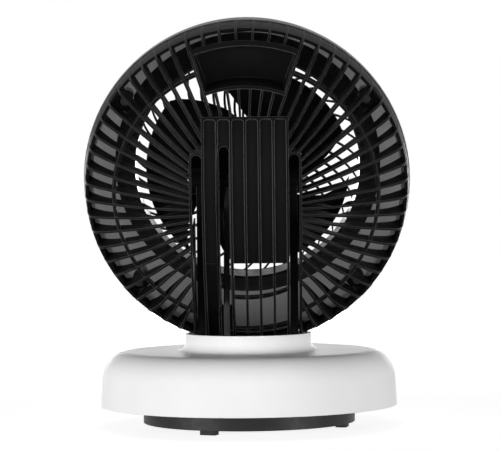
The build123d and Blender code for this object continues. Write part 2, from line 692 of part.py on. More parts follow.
# ---------------------------------------------------------------- front of the head
def front_shell():
    """Ball-shaped band from the parting line to the outlet, with screw bosses inside."""
    mid = asin(FRONT_Y / BALL_R) / 2
    out_mid = (BALL_R * cos(mid), BALL_R * sin(mid))
    rear_in = (shell_inside(-SPIGOT_DROP), -SPIGOT_DROP)
    front_in = (shell_inside(LIP_Y), LIP_Y)
    in_mid = (SHELL_IN * cos(mid), SHELL_IN * sin(mid))
    path = [
        (SHELL_FRONT_R, FRONT_Y),
        (LIP_R, FRONT_Y),
        (LIP_R, LIP_Y),
        front_in,
    ]
    back = [rear_in, (SPIGOT_IN, -SPIGOT_DROP), (SPIGOT_IN, SPIGOT_H)]
    back += [(RIM_IN - SPIGOT_GAP, SPIGOT_H), (RIM_IN - SPIGOT_GAP, 0), (BALL_R, 0)]
    edges = [ThreePointArc((BALL_R, 0), out_mid, path[0])]
    edges += [Line(a, b) for a, b in zip(path, path[1:])]
    edges.append(ThreePointArc(front_in, in_mid, rear_in))
    edges += [Line(a, b) for a, b in zip(back, back[1:])]
    shell = revolve(Plane.XY * make_face(edges), Axis.Y)
    bosses = []
    for angle in BOSS_ANGLES:
        post = Pos(0, 0, BOSS_RING_R) * along_fan(BOSS_R - 1, SHELL_BOSS_LOW, SPIGOT_H / 6)
        half = SHELL_BOSS_WEB / 2
        inner = BOSS_RING_R + SCREW_R + WEB_CLEAR
        web = block((-half, half), (SHELL_BOSS_LOW, -SPIGOT_DROP), (inner, SHELL_IN))
        bosses.append(turned(post + (web & Sphere(SHELL_IN + SHELL_WALL / 4)), angle))
    whole = fused([shell, *bosses])
    pilot = Pos(0, 0, BOSS_RING_R) * along_fan(SCREW_R, SHELL_BOSS_LOW + 2, RIM_H)
    return whole - [turned(pilot, angle) for angle in BOSS_ANGLES]


def shell_inside(y):
    """Radius of the shell's inner wall at a depth."""
    return sqrt(SHELL_IN**2 - y**2)


def air_duct():
    """Throat round the impeller, with a skirt out to the shell and a flare to the outlet."""
    skirt = [(shell_inside(y), y) for y in (DUCT_SKIRT_Y, DUCT_SKIRT_Y - DUCT_SKIRT[1])]
    wall = DUCT_R + DUCT_T
    section = [
        (DUCT_R, DUCT_Y),
        (wall, DUCT_Y),
        *skirt,
        (wall, DUCT_Y - DUCT_SKIRT[1] - DUCT_T),
        (wall, DUCT_FLARE_Y - DUCT_T / 2),
        (LIP_R + DUCT_T, LIP_Y),
        (LIP_R, LIP_Y),
        (DUCT_R, DUCT_FLARE_Y),
    ]
    return spun(section, Axis.Y)


def grille_depth(radius):
    """Depth of the guard's inner face, which bows out towards the middle."""
    share = (GRILLE_RING_R - radius) / (GRILLE_RING_R - GRILLE_HUB_R)
    return FRONT_Y - GRILLE_RISE * sin(share * pi / 2)


def spiral_rib():
    """One swept blade of the guard, drawn flat and cut by the bowed plate later."""
    def spot(radius, turn, side):
        a = radians(turn) + side * GRILLE_RIB_T / (2 * radius)
        return (radius * sin(a), radius * cos(a))

    turns = (GRILLE_TWIST / 2, GRILLE_BOW, -GRILLE_TWIST / 2)
    radii = (GRILLE_HUB_R - 1, GRILLE_MID_R, GRILLE_RING_R - GRILLE_RING_W / 2)
    left = [spot(r, t, -1) for r, t in zip(radii, turns)]
    right = [spot(r, t, 1) for r, t in zip(radii, turns)]
    outer, inner = Line(left[2], right[2]), Line(right[0], left[0])
    return make_face([ThreePointArc(*left), outer, ThreePointArc(*right[::-1]), inner])


def front_grille():
    """Guard with spiral ribs between the outlet ring and the middle boss."""
    ring_in = GRILLE_RING_R - GRILLE_RING_W
    seat = LIP_R - GRILLE_FIT
    face = FRONT_Y - GRILLE_RING_T
    section = [
        (ring_in, LIP_Y - GRILLE_FIT),
        (seat, LIP_Y - GRILLE_FIT),
        (seat, FRONT_Y),
        (GRILLE_RING_R, FRONT_Y),
        (GRILLE_RING_R - GRILLE_FIT * 4, face),
        (ring_in, face),
    ]
    hub_y = grille_depth(GRILLE_HUB_R)
    hub = along_fan(GRILLE_HUB_R, hub_y - GRILLE_RIB_H, hub_y, inner=GRILLE_HUB_R - GRILLE_RIB_H)
    hub += along_fan(GRILLE_HUB_R - GRILLE_RIB_T, hub_y - GRILLE_RIB_T, hub_y)
    inside = [(r, grille_depth(r)) for r in (GRILLE_HUB_R - 2, GRILLE_MID_R, ring_in + 1)]
    heights = (GRILLE_RIB_H, GRILLE_RIB_H, GRILLE_RING_T)
    outside = [(r, y - height) for (r, y), height in zip(inside, heights)]
    plate = spun(inside + outside[::-1], Axis.Y)
    blank = extrude(Plane(origin=(0, 0, 0), x_dir=(1, 0, 0), z_dir=(0, -1, 0)) * spiral_rib(), BALL_R)
    rib = blank & plate
    ribs = [turned(rib, n * 360 / GRILLE_SPIRALS) for n in range(GRILLE_SPIRALS)]
    return fused([spun(section, Axis.Y), hub, *ribs])


def front_cap():
    """Plain disc in the middle of the guard."""
    seat = grille_depth(GRILLE_HUB_R) - GRILLE_RIB_T
    r = GRILLE_HUB_R - GRILLE_RIB_H - CAP_GAP
    face = seat - GRILLE_RIB_H + 2 * CAP_DOME
    dome = [(0, seat), (r, seat), (r, face)]
    dome += [(r - 2 * CAP_DOME, face - CAP_DOME), (0, face - 2 * CAP_DOME)]
    return spun(dome, Axis.Y)


def rim_clip():
    """Snap hook moulded for the top of the shell, behind the outlet."""
    wide, narrow = CLIP_HALF
    tip, hook_end, foot_end = CLIP_Y
    low = RIM_IN - CLIP_INSET
    tongue = block((-wide, wide), (tip, -SPIGOT_DROP), (low, low + CLIP_T))
    hook = block((-narrow, narrow), (tip, hook_end), (low + CLIP_T, low + CLIP_T + CLIP_HOOK))
    foot = block((-wide, wide), (foot_end, -SPIGOT_DROP), (low, SPIGOT_IN - SPIGOT_GAP))
    return turned(fused([tongue, hook, foot]), CLIP_ANGLE)


# ---------------------------------------------------------------- impeller and motor
def blade_section(x, half, rise, camber):
    """Thin cambered section across the blade at a distance from the axis."""
    ends = [(-half, rise), (half, -rise)]
    rear = ThreePointArc(ends[0], (0, camber + BLADE_T / 2), ends[1])
    front = ThreePointArc(ends[1], (0, camber - BLADE_T / 2), ends[0])
    plane = Plane(origin=(x, BLADE_Y, 0), x_dir=(0, 0, 1), z_dir=(-1, 0, 0))
    return plane * make_face([rear, front])


def polar(radius, angle):
    """Flat point at a radius and an angle in degrees."""
    return (radius * cos(radians(angle)), radius * sin(radians(angle)))


def blade_outline():
    """Plan of a swept blade about +X, cut to its radii later."""
    tip = IMPELLER_R + BLADE_T
    lead_root, lead_r, lead_mid, lead_tip = BLADE_LEAD
    trail_root, trail_r, trail_mid, trail_tip = BLADE_TRAIL
    lead = [(BLADE_ROOT_R, lead_root), (lead_r, lead_mid), (tip, lead_tip)]
    trail = [(tip, trail_tip), (trail_r, trail_mid), (BLADE_ROOT_R, trail_root)]
    lead, trail = [[polar(r, a) for r, a in edge] for edge in (lead, trail)]
    outer = ThreePointArc(lead[2], (tip + BLADE_T, 0), trail[0])
    edges = [ThreePointArc(*lead), outer, ThreePointArc(*trail), Line(trail[2], lead[0])]
    return make_face(edges)


def impeller():
    """Three broad swept blades on a cup that fits over the motor's nose."""
    slab = loft([blade_section(*place) for place in BLADE_SLABS])
    flat = Plane(origin=(0, 0, 0), x_dir=(1, 0, 0), z_dir=(0, 1, 0))
    plan = extrude(flat * blade_outline(), BALL_R, both=True)
    ring = along_fan(IMPELLER_R, -BALL_R, 0, inner=HUB_CUP_R - HUB_CUP_WALL / 2)
    blade = slab & plan & ring
    blades = [turned(blade, BLADE_PHASE + n * 360 / BLADES) for n in range(BLADES)]
    front, back = HUB_CUP_Y
    wall = HUB_CUP_R - HUB_CUP_WALL
    floor = front + HUB_CUP_ROUND
    sleeve_r, sleeve = HUB_SLEEVE
    cup = [
        (SHAFT_R, front),
        (HUB_CUP_R - HUB_CUP_ROUND, front),
        (HUB_CUP_R, floor),
        (HUB_CUP_R, back),
        (wall, back),
        (wall, floor),
        (sleeve_r, floor),
        (sleeve_r, front + sleeve),
        (SHAFT_R, front + sleeve),
    ]
    return fused([spun(cup, Axis.Y), *blades])


def motor_shaft():
    """Steel shaft from inside the motor to the nut."""
    return along_fan(SHAFT_R, *SHAFT_Y)


def impeller_nut():
    """Cap nut that holds the impeller on."""
    end = HUB_CUP_Y[0]
    return Rot(-90, 0, 0) * Pos(0, 0, end - NUT_H) * extrude(
        RegularPolygon(NUT_R, 6) - Circle(SHAFT_R), NUT_H
    )


def motor_case():
    """Round motor with a nose bearing and a bore for its shaft."""
    front, back = MOTOR_Y
    bore = SHAFT_R + RUNNING
    section = [
        (bore, front - MOTOR_NOSE_H),
        (MOTOR_NOSE_R, front - MOTOR_NOSE_H),
        (MOTOR_NOSE_R, front),
        (MOTOR_R - MOTOR_CHAMFER, front),
        (MOTOR_R, front + MOTOR_CHAMFER),
        (MOTOR_R, back),
        (0, back),
        (0, SHAFT_Y[1] + 1),
        (bore, SHAFT_Y[1] + 1),
    ]
    return spun(section, Axis.Y)


def motor_mount():
    """Plate behind the motor, two cheeks back to the posts, and the tilt bosses."""
    back = MOTOR_Y[1]
    half = CHEEK_HALF
    across = block((-MOUNT_R, MOUNT_R), (-MOUNT_R, MOUNT_R), (-half, half))
    plate = along_fan(MOUNT_R, back, back + MOUNT_T) & across
    cheek = block(MOUNT_CHEEK_X, (back + MOUNT_T / 2, CHEEK_END), (-half, half))
    near, far, window_half = CHEEK_WINDOW
    cheek -= block((0, MOUNT_R), (near, far), (-window_half, window_half))
    boss = along_tilt(MOUNT_BOSS_R, MOUNT_CHEEK_X[0], MOUNT_BOSS_X)
    bore = along_tilt(PIVOT_R + BUSH_WALL, MOUNT_CHEEK_X[0] - 1, MOUNT_BOSS_X + 1)
    drum = along_tilt(DRUM_R, DRUM_X, MOUNT_CHEEK_X[0] - BUSH_WALL - 1)
    arm_t, arm_half = DRUM_ARM
    arm = block((DRUM_X, DRUM_X + arm_t), (back + MOUNT_T / 2, 0), (-arm_half, arm_half))
    body = fused([plate, *both_sides(cheek + boss - bore), drum + arm])
    post = along_fan(MOUNT_POST_R, CHEEK_END - MOUNT_POST_H, CHEEK_END)
    body += [place * post for place in mount_spots()]
    seat = along_fan(SCREW_HEAD_R + SEAT_CLEAR, CHEEK_END - 2 * MOUNT_POST_H, CHEEK_END - MOUNT_POST_H)
    hole = along_fan(SCREW_R, CHEEK_END - MOUNT_POST_H, CHEEK_END)
    return body - [place * (seat + hole) for place in mount_spots()]


def pan_screw(length):
    """Pan-head screw along Z, its head at the origin and its shank downwards."""
    return rod(SCREW_HEAD_R, 0, SCREW_HEAD_H) + rod(SCREW_R, -length, 0)


def mount_screws():
    """Four screws from the motor side into the basket's posts."""
    screw = Pos(0, CHEEK_END - MOUNT_POST_H, 0) * Rot(90, 0, 0) * pan_screw(SCREW_L)
    return group([place * screw for place in mount_spots()])


def shell_screws():
    """Four screws from behind that close the basket onto the shell."""
    screw = Rot(-90, 0, 0) * pan_screw(SHELL_SCREW_L)
    return group([turned(Pos(0, BOSS_TOP_Y - BOSS_WELL, BOSS_RING_R) * screw, a) for a in BOSS_ANGLES])


def pivot_bushes():
    """Plain bushes in the mount's tilt bosses."""
    low = MOUNT_CHEEK_X[0]
    return group(both_sides(along_tilt(PIVOT_R + BUSH_WALL, low, MOUNT_BOSS_X, inner=PIVOT_R + RUNNING)))


# ---------------------------------------------------------------- fork
def at_pivot(shape):
    """From the tilt axis to the row frame."""
    return Pos(0, 0, PIVOT_Z) * shape


def fork_arm():
    """One arm with its round boss, drawn on the +X side."""
    foot, top = ARM_FOOT_W / 2, ARM_TOP_W / 2
    taper_z = NECK_TOP_Z + ARM_TAPER_RISE
    outline = [(-foot, YOKE_Z), (foot, YOKE_Z), (foot, taper_z)]
    outline += [(top, PIVOT_Z), (-top, PIVOT_Z), (-foot, taper_z)]
    plane = Plane(origin=(ARM_IN, 0, 0), x_dir=(0, 1, 0), z_dir=(1, 0, 0))
    blade = extrude(plane * make_face(Polyline(*outline, close=True)), ARM_T)
    boss = at_pivot(along_tilt(ARM_BOSS_R, ARM_IN, ARM_BOSS_OUT))
    bore = at_pivot(along_tilt(PIVOT_R, ARM_IN - 1, ARM_BOSS_OUT + 1))
    return blade + boss - bore


def yoke_spots():
    """Where the fork is screwed up into the cover."""
    return PolarLocations(YOKE_SCREW_R, 4, start_angle=YOKE_SCREW_ANGLE)


def yoke():
    """Fork: a round foot inside the base and two arms up to the tilt axis."""
    foot = tube(YOKE_R, YOKE_HOLE_R, YOKE_Z, YOKE_Z + YOKE_T)
    foot -= [place * rod(SCREW_R, YOKE_Z, YOKE_Z + YOKE_T) for place in yoke_spots()]
    return fused([foot, *both_sides(fork_arm())])


def yoke_screws():
    """Screws from below that hold the fork to the cover."""
    screw = Pos(0, 0, YOKE_Z) * Rot(180, 0, 0) * pan_screw(SCREW_L - 1)
    return group([place * screw for place in yoke_spots()])


def pivot_screws():
    """Shoulder screws, fixed in the arms, that the head tilts on."""
    shank = along_tilt(PIVOT_R, MOUNT_CHEEK_X[0] + 0.5, ARM_BOSS_OUT)
    head = along_tilt(PIVOT_HEAD_R, ARM_BOSS_OUT, ARM_BOSS_OUT + PIVOT_HEAD_T)
    wide, length, deep = PIVOT_SLOT
    end = ARM_BOSS_OUT + PIVOT_HEAD_T
    slot = block((end - deep, end + 1), (-wide / 2, wide / 2), (-length / 2, length / 2))
    return group(both_sides(at_pivot(shank + head - slot)))


def friction_washers():
    """Washers between the arms and the mount that hold the tilt."""
    ring = along_tilt(ARM_BOSS_R - 1, ARM_IN - FRICTION_T, ARM_IN, inner=PIVOT_R + FRICTION_GAP)
    return group(both_sides(at_pivot(ring)))


def lead_route():
    """Points of the lead from the drum on the tilt axis down into the neck."""
    a = radians(LEAD_ANGLE)
    near, far = [(LEAD_X, r * cos(a), PIVOT_Z - r * sin(a)) for r in (DRUM_R, LEAD_BEND_R)]
    return [near, far, (LEAD_X, LEAD_GLAND_Y, LEAD_END_Z + LEAD_DROP), (LEAD_X, LEAD_GLAND_Y, LEAD_END_Z)]


def motor_lead():
    """Lead from the neck to the drum, running in the column's long slot."""
    path = FilletPolyline(*lead_route(), radius=LEAD_FILLET)
    first = path.edges()[0]
    section = Plane(origin=first @ 0, z_dir=first % 0) * Circle(LEAD_R)
    lead = sweep(section, path=path)
    print("lead:", len(path.edges()), "edges, radii", LEAD_FILLET, "- length", round(path.length, 1))
    share = lead.volume / (pi * LEAD_R**2 * path.length)
    print("lead's volume against section times length:", round(share, 4))
    return lead


# ---------------------------------------------------------------- base
def saddle():
    """Dish in the neck, and the openings for the two arms."""
    ball = Pos(0, 0, PIVOT_Z) * (Sphere(DISH_R + SADDLE_WALL) - Sphere(DISH_R))
    dish = ball & rod(NECK_R - 1, PLATEAU_Z, NECK_TOP_Z + 1)
    foot = ARM_FOOT_W / 2 + ARM_GAP
    across = (ARM_IN - ARM_GAP, ARM_IN + ARM_T + ARM_GAP)
    slot = block(across, (-foot, foot), (YOKE_Z, NECK_TOP_Z + BALL_RISE))
    return dish, both_sides(slot)


def cover_profile():
    """Section of the cover, outer face round to inner face."""
    across, up = SHOULDER_ROUND
    rise = PLATEAU_Z - SHOULDER_Z
    crest = (PLATEAU_R + SHOULDER_W * across, SHOULDER_Z + rise * up)
    w = COVER_WALL
    inner_crest = (crest[0] - w * across, crest[1] - w * up)
    outer = [
        Line((BASE_R, COVER_EDGE_Z), (BASE_SIDE_R, SHOULDER_Z)),
        ThreePointArc((BASE_SIDE_R, SHOULDER_Z), crest, (PLATEAU_R, PLATEAU_Z)),
        Line((PLATEAU_R, PLATEAU_Z), (NECK_R + NECK_FILLET, PLATEAU_Z)),
        RadiusArc((NECK_R + NECK_FILLET, PLATEAU_Z), (NECK_R, PLATEAU_Z + NECK_FILLET), NECK_FILLET),
        Line((NECK_R, PLATEAU_Z + NECK_FILLET), (NECK_R, NECK_TOP_Z)),
    ]
    back = [
        (NECK_R, NECK_TOP_Z),
        (NECK_R - w, NECK_TOP_Z),
        (NECK_R - w, COVER_UNDER),
        (PLATEAU_R - w / 4, COVER_UNDER),
        inner_crest,
        (BASE_SIDE_R - w, SHOULDER_Z),
        (BASE_R - w, COVER_EDGE_Z),
        (BASE_R, COVER_EDGE_Z),
    ]
    return make_face(outer + [Line(a, b) for a, b in zip(back, back[1:])])


def base_cover():
    """White shell: side, big shoulder, plateau and neck, hollow from below."""
    dish, slots = saddle()
    shell = fused([revolve(Plane.XZ * cover_profile(), Axis.Z), dish])
    shell += [p * rod(COVER_BOSS_R, FLOOR_TOP, COVER_UNDER + COVER_WALL / 2) for p in cover_spots()]
    shell += [p * rod(COVER_BOSS_R, YOKE_Z + YOKE_T, COVER_UNDER + COVER_WALL / 2) for p in yoke_spots()]
    shell -= [p * rod(SCREW_R, FLOOR_TOP - 1, FLOOR_Z + SCREW_L) for p in cover_spots()]
    shell -= [p * rod(SCREW_R, YOKE_Z, YOKE_Z + SCREW_L - 1) for p in yoke_spots()]
    shell -= slots
    bore = LEAD_R + LEAD_GLAND_WALL + LEAD_GLAND_FIT
    shell -= Pos(LEAD_X, LEAD_GLAND_Y, 0) * rod(bore, YOKE_Z, NECK_TOP_Z)
    shell -= Pos(0, KNOB_Y, 0) * rod(KNOB_SHAFT_R + KNOB_LIFT, COVER_UNDER, PLATEAU_Z)
    shell -= Pos(BUTTON_X, BUTTON_Y, 0) * rod(BUTTON_R + BUTTON_GAP, COVER_UNDER, PLATEAU_Z)
    return shell


def cover_spots():
    """Where the floor's screws meet the cover's bosses."""
    return PolarLocations(COVER_SCREW_R, 4, start_angle=COVER_SCREW_ANGLE)


def lead_gland():
    """Bush that takes the lead through the dish."""
    low, high = LEAD_GLAND_SPAN
    bush = tube(LEAD_R + LEAD_GLAND_WALL, LEAD_R, LEAD_END_Z - low, LEAD_END_Z + high)
    return Pos(LEAD_X, LEAD_GLAND_Y, 0) * bush


def cover_inside(z):
    """Radius of the cover's inner wall at a height below the shoulder."""
    return BASE_R - COVER_WALL - SIDE_DRAFT * (z - COVER_EDGE_Z) / (SHOULDER_Z - COVER_EDGE_Z)


def base_floor():
    """Black pan with the swivel hub, boss pads and motor posts."""
    rim_top = FLOOR_TOP + FLOOR_RIM_H
    outer = cover_inside(rim_top) - FLOOR_GAP
    bore = POST_R + RUNNING
    section = [
        (bore, FLOOR_Z),
        (outer, FLOOR_Z),
        (outer, rim_top),
        (outer - FLOOR_RIM_T, rim_top),
        (outer - FLOOR_RIM_T, FLOOR_TOP),
        (HUB_R, FLOOR_TOP),
        (HUB_R, HUB_TOP),
        (bore, HUB_TOP),
    ]
    posts = [Pos(DRIVE_X, y, 0) * rod(SWING_POST_R, FLOOR_Z, SWING_Z) for y in swing_ears()]
    stands = [Pos(x, BOARD_STAND_Y, 0) * rod(BOARD_STAND_R, FLOOR_Z, BOARD_Z) for x in board_stands()]
    floor = fused([spun(section), *posts, *stands])
    floor -= [p * rod(SCREW_R, FLOOR_Z, FLOOR_TOP) for p in cover_spots()]
    return floor - gland_place(rod(GLAND_R, FLOOR_Z, FLOOR_TOP))


def floor_screws():
    """Screws from below that close the base."""
    screw = Pos(0, 0, FLOOR_Z) * Rot(180, 0, 0) * pan_screw(SCREW_L)
    return group([p * screw for p in cover_spots()])


def gland_place(shape):
    """Out to where the mains lead would come in."""
    return Rot(0, 0, GLAND_ANGLE) * Pos(BASE_R - GLAND_INSET, 0, 0) * shape


def cord_gland():
    """Bush under the base where the mains lead would come in."""
    flange = tube(GLAND_R + GLAND_FLANGE, GLAND_BORE, FLOOR_TOP, FLOOR_TOP + FLOOR_T)
    return gland_place(tube(GLAND_R, GLAND_BORE, FLOOR_Z, FLOOR_TOP + 2 * FLOOR_T) + flange)


def swing_ears():
    """The swing motor's two posts, in Y."""
    reach = SWING_MOTOR_R + SWING_EAR / 2
    return (-reach, reach)


def swing_motor():
    """Flat geared motor on two ears."""
    can = rod(SWING_MOTOR_R, SWING_Z, SWING_Z + SWING_MOTOR_H)
    reach = SWING_MOTOR_R + SWING_EAR
    ears = block((-SWING_POST_R, SWING_POST_R), (-reach, reach), (SWING_Z, SWING_Z + SWING_EAR_T))
    bore = rod(SWING_SHAFT_R + RUNNING, SWING_Z, SWING_Z + SWING_SHAFT_IN + 1)
    return Pos(DRIVE_X, 0, 0) * (can + ears - bore)


def involute(angle):
    return tan(angle) - angle


def gear_sketch(teeth, phase):
    """Spur gear whose flanks are straight from the root past the pitch circle to the tip."""
    pitch_r = GEAR_MODULE * teeth / 2
    base_r = pitch_r * cos(radians(GEAR_PRESSURE))
    root_r, tip_r = pitch_r - GEAR_ROOT * GEAR_MODULE, pitch_r + GEAR_TIP * GEAR_MODULE
    flank = [max(base_r, root_r), pitch_r, tip_r]
    half = pi / (2 * teeth) - GEAR_BACKLASH / (4 * pitch_r) + involute(radians(GEAR_PRESSURE))
    widths = [half - involute(acos(min(1.0, base_r / r))) for r in flank]
    points = []
    for n in range(teeth):
        middle = 2 * pi * n / teeth + radians(phase)
        low = [(root_r, -widths[0])] + [(r, -w) for r, w in zip(flank[1:], widths[1:])]
        high = [(r, -w) for r, w in reversed(low)]
        points += [(r * cos(middle + a), r * sin(middle + a)) for r, a in low + high]
    return make_face(Polyline(*points, close=True))


def swivel_gear():
    """Fixed gear on the post that the swing pinion walks round."""
    return Pos(0, 0, GEAR_Z) * extrude(gear_sketch(GEAR_TEETH, 0) - Circle(POST_R), GEAR_T)


def swing_pinion():
    """Pinion and its spindle up into the swing motor."""
    wheel = Pos(0, 0, GEAR_Z) * extrude(gear_sketch(PINION_TEETH, 180 / PINION_TEETH), GEAR_T)
    return Pos(DRIVE_X, 0, 0) * (wheel + rod(SWING_SHAFT_R, GEAR_Z, SWING_Z + SWING_SHAFT_IN))


def board_stands():
    """The control board's stands, in X."""
    reach = BOARD_W / 2 - 2 * BOARD_STAND_R
    return (-reach, reach)


def control_board():
    """Board under the plateau's front, with parts as low blocks."""
    half = BOARD_W / 2
    near = KNOB_Y - BOARD_AHEAD
    board = block((-half, half), (near, near + BOARD_D), (BOARD_Z, BOARD_TOP))
    left, right = BOARD_PART_X
    near = KNOB_Y + BOARD_T
    part = block((left, right), (near, near + right - left), (BOARD_TOP, BOARD_TOP + BOARD_PART_H))
    plunger = Pos(BUTTON_X, BUTTON_Y, 0) * rod(BOARD_STAND_R, BOARD_TOP, PLUNGER_Z)
    return fused([board, part, plunger])


def rotary_switch():
    """Speed switch below the knob."""
    half = SWITCH_W / 2
    deep = (KNOB_Y - half + 1, KNOB_Y + half - 1)
    body = block((-half, half), deep, (BOARD_TOP, BOARD_TOP + SWITCH_H))
    bore = rod(KNOB_SHAFT_R + RUNNING, BOARD_TOP + SWITCH_FLOOR, BOARD_TOP + SWITCH_H)
    return body - Pos(0, KNOB_Y, 0) * bore


def knob_shaft():
    """Shaft between the knob and the switch."""
    low = BOARD_TOP + SWITCH_FLOOR + KEEPER_GAP
    return Pos(0, KNOB_Y, 0) * rod(KNOB_SHAFT_R, low, KNOB_TOP - KNOB_CAP)


def speed_knob():
    """Fluted knob with a pointer ridge."""
    low = PLATEAU_Z + KNOB_LIFT
    draft, edge = KNOB_DRAFT
    side = [(KNOB_R, low), (KNOB_R - draft, KNOB_TOP - edge), (KNOB_R - draft - edge, KNOB_TOP)]
    body = spun([(0, low), *side, (0, KNOB_TOP)])
    flute = rod(KNOB_FLUTE_R, low, KNOB_TOP)
    body -= [p * flute for p in PolarLocations(KNOB_R, KNOB_FLUTES, start_angle=15)]
    half, inner = KNOB_RIDGE
    ridge = block((-half, half), (edge + draft - KNOB_R, -inner), (KNOB_TOP - half, KNOB_TOP + half))
    return Pos(0, KNOB_Y, 0) * (body + ridge - rod(KNOB_SHAFT_R, low, KNOB_TOP - KNOB_CAP))


def swing_button():
    """Round push button with a collar that keeps it in."""
    collar_top = COVER_UNDER - BUTTON_GAP
    foot = collar_top - BUTTON_COLLAR_T
    top = PLATEAU_Z + BUTTON_RISE
    wide = BUTTON_R + BUTTON_COLLAR
    side = [(wide, foot), (wide, collar_top), (BUTTON_R, collar_top)]
    crown = [(BUTTON_R, top - BUTTON_EDGE), (BUTTON_R - BUTTON_EDGE, top), (0, top)]
    return Pos(BUTTON_X, BUTTON_Y, 0) * spun([(0, foot), *side, *crown])


# ---------------------------------------------------------------- foot
def foot_plate():
    """Black disc, hollow from below, with a collar for the post."""
    wall = PLATE_WALL
    under = PLATE_TOP - wall
    section = [
        (POST_BORE, PAD_H + PLATE_STEP),
        (POST_R + POST_COLLAR, PAD_H + PLATE_STEP),
        (POST_R + POST_COLLAR, under),
        (PLATE_R - wall, under),
        (PLATE_R - wall, PAD_H),
        (PLATE_R, PAD_H),
        (PLATE_R, PLATE_TOP - PLATE_STEP),
        (PLATE_R - PLATE_STEP, PLATE_TOP - PLATE_STEP),
        (PLATE_R - PLATE_STEP, PLATE_TOP),
        (POST_BORE, PLATE_TOP),
    ]
    land = rod(PAD_LAND_R, PAD_H, PLATE_TOP - wall / 2)
    reach = PLATE_R - wall / 2 - PAD_LAND_R
    lands = [Rot(0, 0, angle) * Pos(reach, 0, 0) * land for angle in pad_angles()]
    return fused([spun(section), *lands])


def pad_angles():
    """Directions of the four rubber feet."""
    return [angle + turn for turn in (0, 180) for angle in PAD_ANGLES]


def rubber_feet():
    """Four pads under the foot plate's edge."""
    pad = Box(PAD_D, PAD_W, PAD_H)
    pad = Pos(PLATE_R - PAD_INSET, 0, PAD_H / 2) * fillet(pad.edges().filter_by(Axis.Z), PAD_ROUND)
    return group([Rot(0, 0, angle) * pad for angle in pad_angles()])


def glide_washer():
    """Slippery ring between the foot plate and the floor."""
    return tube(GLIDE_R, POST_R + GLIDE_FIT, PLATE_TOP, FLOOR_Z)


def swivel_post():
    """Hollow steel post standing on the foot plate."""
    return tube(POST_R, POST_BORE, PLATE_TOP, POST_TOP)


def keeper_washer():
    """Washer over the hub."""
    return tube(KEEPER_R, POST_R, KEEPER_Z, KEEPER_Z + KEEPER_T)


def circlip():
    """Spring clip that holds the washer."""
    ring = tube(CIRCLIP_R, POST_R, KEEPER_Z + KEEPER_T, GEAR_Z)
    return ring - block((-CIRCLIP_OPEN, CIRCLIP_OPEN), (0, CIRCLIP_R), (KEEPER_Z, GEAR_Z))


# ---------------------------------------------------------------- all nodes
def parts():
    """Every node of the fan, by name."""
    head = {
        "rear_grille": rear_grille(),
        "front_shell": front_shell(),
        "air_duct": air_duct(),
        "front_grille": front_grille(),
        "front_cap": front_cap(),
        "rim_clip": rim_clip(),
        "shell_screws": shell_screws(),
        "motor_mount": motor_mount(),
        "mount_screws": mount_screws(),
        "motor_case": motor_case(),
        "pivot_bushes": pivot_bushes(),
        "motor_shaft": motor_shaft(),
        "impeller": impeller(),
        "impeller_nut": impeller_nut(),
    }
    rest = {
        "foot_plate": foot_plate(),
        "rubber_feet": rubber_feet(),
        "glide_washer": glide_washer(),
        "swivel_post": swivel_post(),
        "keeper_washer": keeper_washer(),
        "circlip": circlip(),
        "swivel_gear": swivel_gear(),
        "base_cover": base_cover(),
        "base_floor": base_floor(),
        "floor_screws": floor_screws(),
        "cord_gland": cord_gland(),
        "yoke": yoke(),
        "yoke_screws": yoke_screws(),
        "pivot_screws": pivot_screws(),
        "friction_washers": friction_washers(),
        "motor_lead": motor_lead(),
        "lead_gland": lead_gland(),
        "control_board": control_board(),
        "rotary_switch": rotary_switch(),
        "swing_motor": swing_motor(),
        "swing_pinion": swing_pinion(),
        "knob_shaft": knob_shaft(),
        "speed_knob": speed_knob(),
        "swing_button": swing_button(),
    }
    return {**{name: head_place(shape) for name, shape in head.items()}, **rest}


os.makedirs("parts", exist_ok=True)
for node, shape in parts().items():
    export_step(shape, f"parts/{node}.step")
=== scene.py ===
import json
from math import asin, cos, pi, radians, sin

import bpy
import bmesh
from mathutils import Matrix, Vector


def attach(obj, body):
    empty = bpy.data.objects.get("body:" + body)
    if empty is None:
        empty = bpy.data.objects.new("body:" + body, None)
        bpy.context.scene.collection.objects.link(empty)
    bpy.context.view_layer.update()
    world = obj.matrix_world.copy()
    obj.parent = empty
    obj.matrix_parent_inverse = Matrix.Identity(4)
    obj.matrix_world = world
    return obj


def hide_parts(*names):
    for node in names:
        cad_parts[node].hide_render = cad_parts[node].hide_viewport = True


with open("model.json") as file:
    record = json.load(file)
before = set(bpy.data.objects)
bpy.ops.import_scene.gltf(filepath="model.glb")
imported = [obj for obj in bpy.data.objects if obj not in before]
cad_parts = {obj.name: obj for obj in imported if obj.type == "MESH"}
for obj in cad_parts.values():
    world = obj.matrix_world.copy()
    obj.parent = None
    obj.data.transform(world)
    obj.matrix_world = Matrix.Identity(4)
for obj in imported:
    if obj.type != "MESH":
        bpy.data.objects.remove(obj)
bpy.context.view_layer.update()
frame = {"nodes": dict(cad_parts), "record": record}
MM = 0.001

# The photograph: 500 x 450 pixels, seen from behind the fan. Distances are in metres, angles in degrees.
PHOTO_W = 500
FOCAL_PX = 2043.0
CAMERA_DISTANCE = 1.500
CAMERA_HEIGHT = 0.1522
CAMERA_TURN = 0.75  # towards -X
AXIS_PX = 2.7  # the base's axis is this far left of the picture's middle
HORIZON_PX = 7.0  # the horizon is this far above the picture's middle
CAMERA_ROLL = 0.6
SENSOR = 36.0

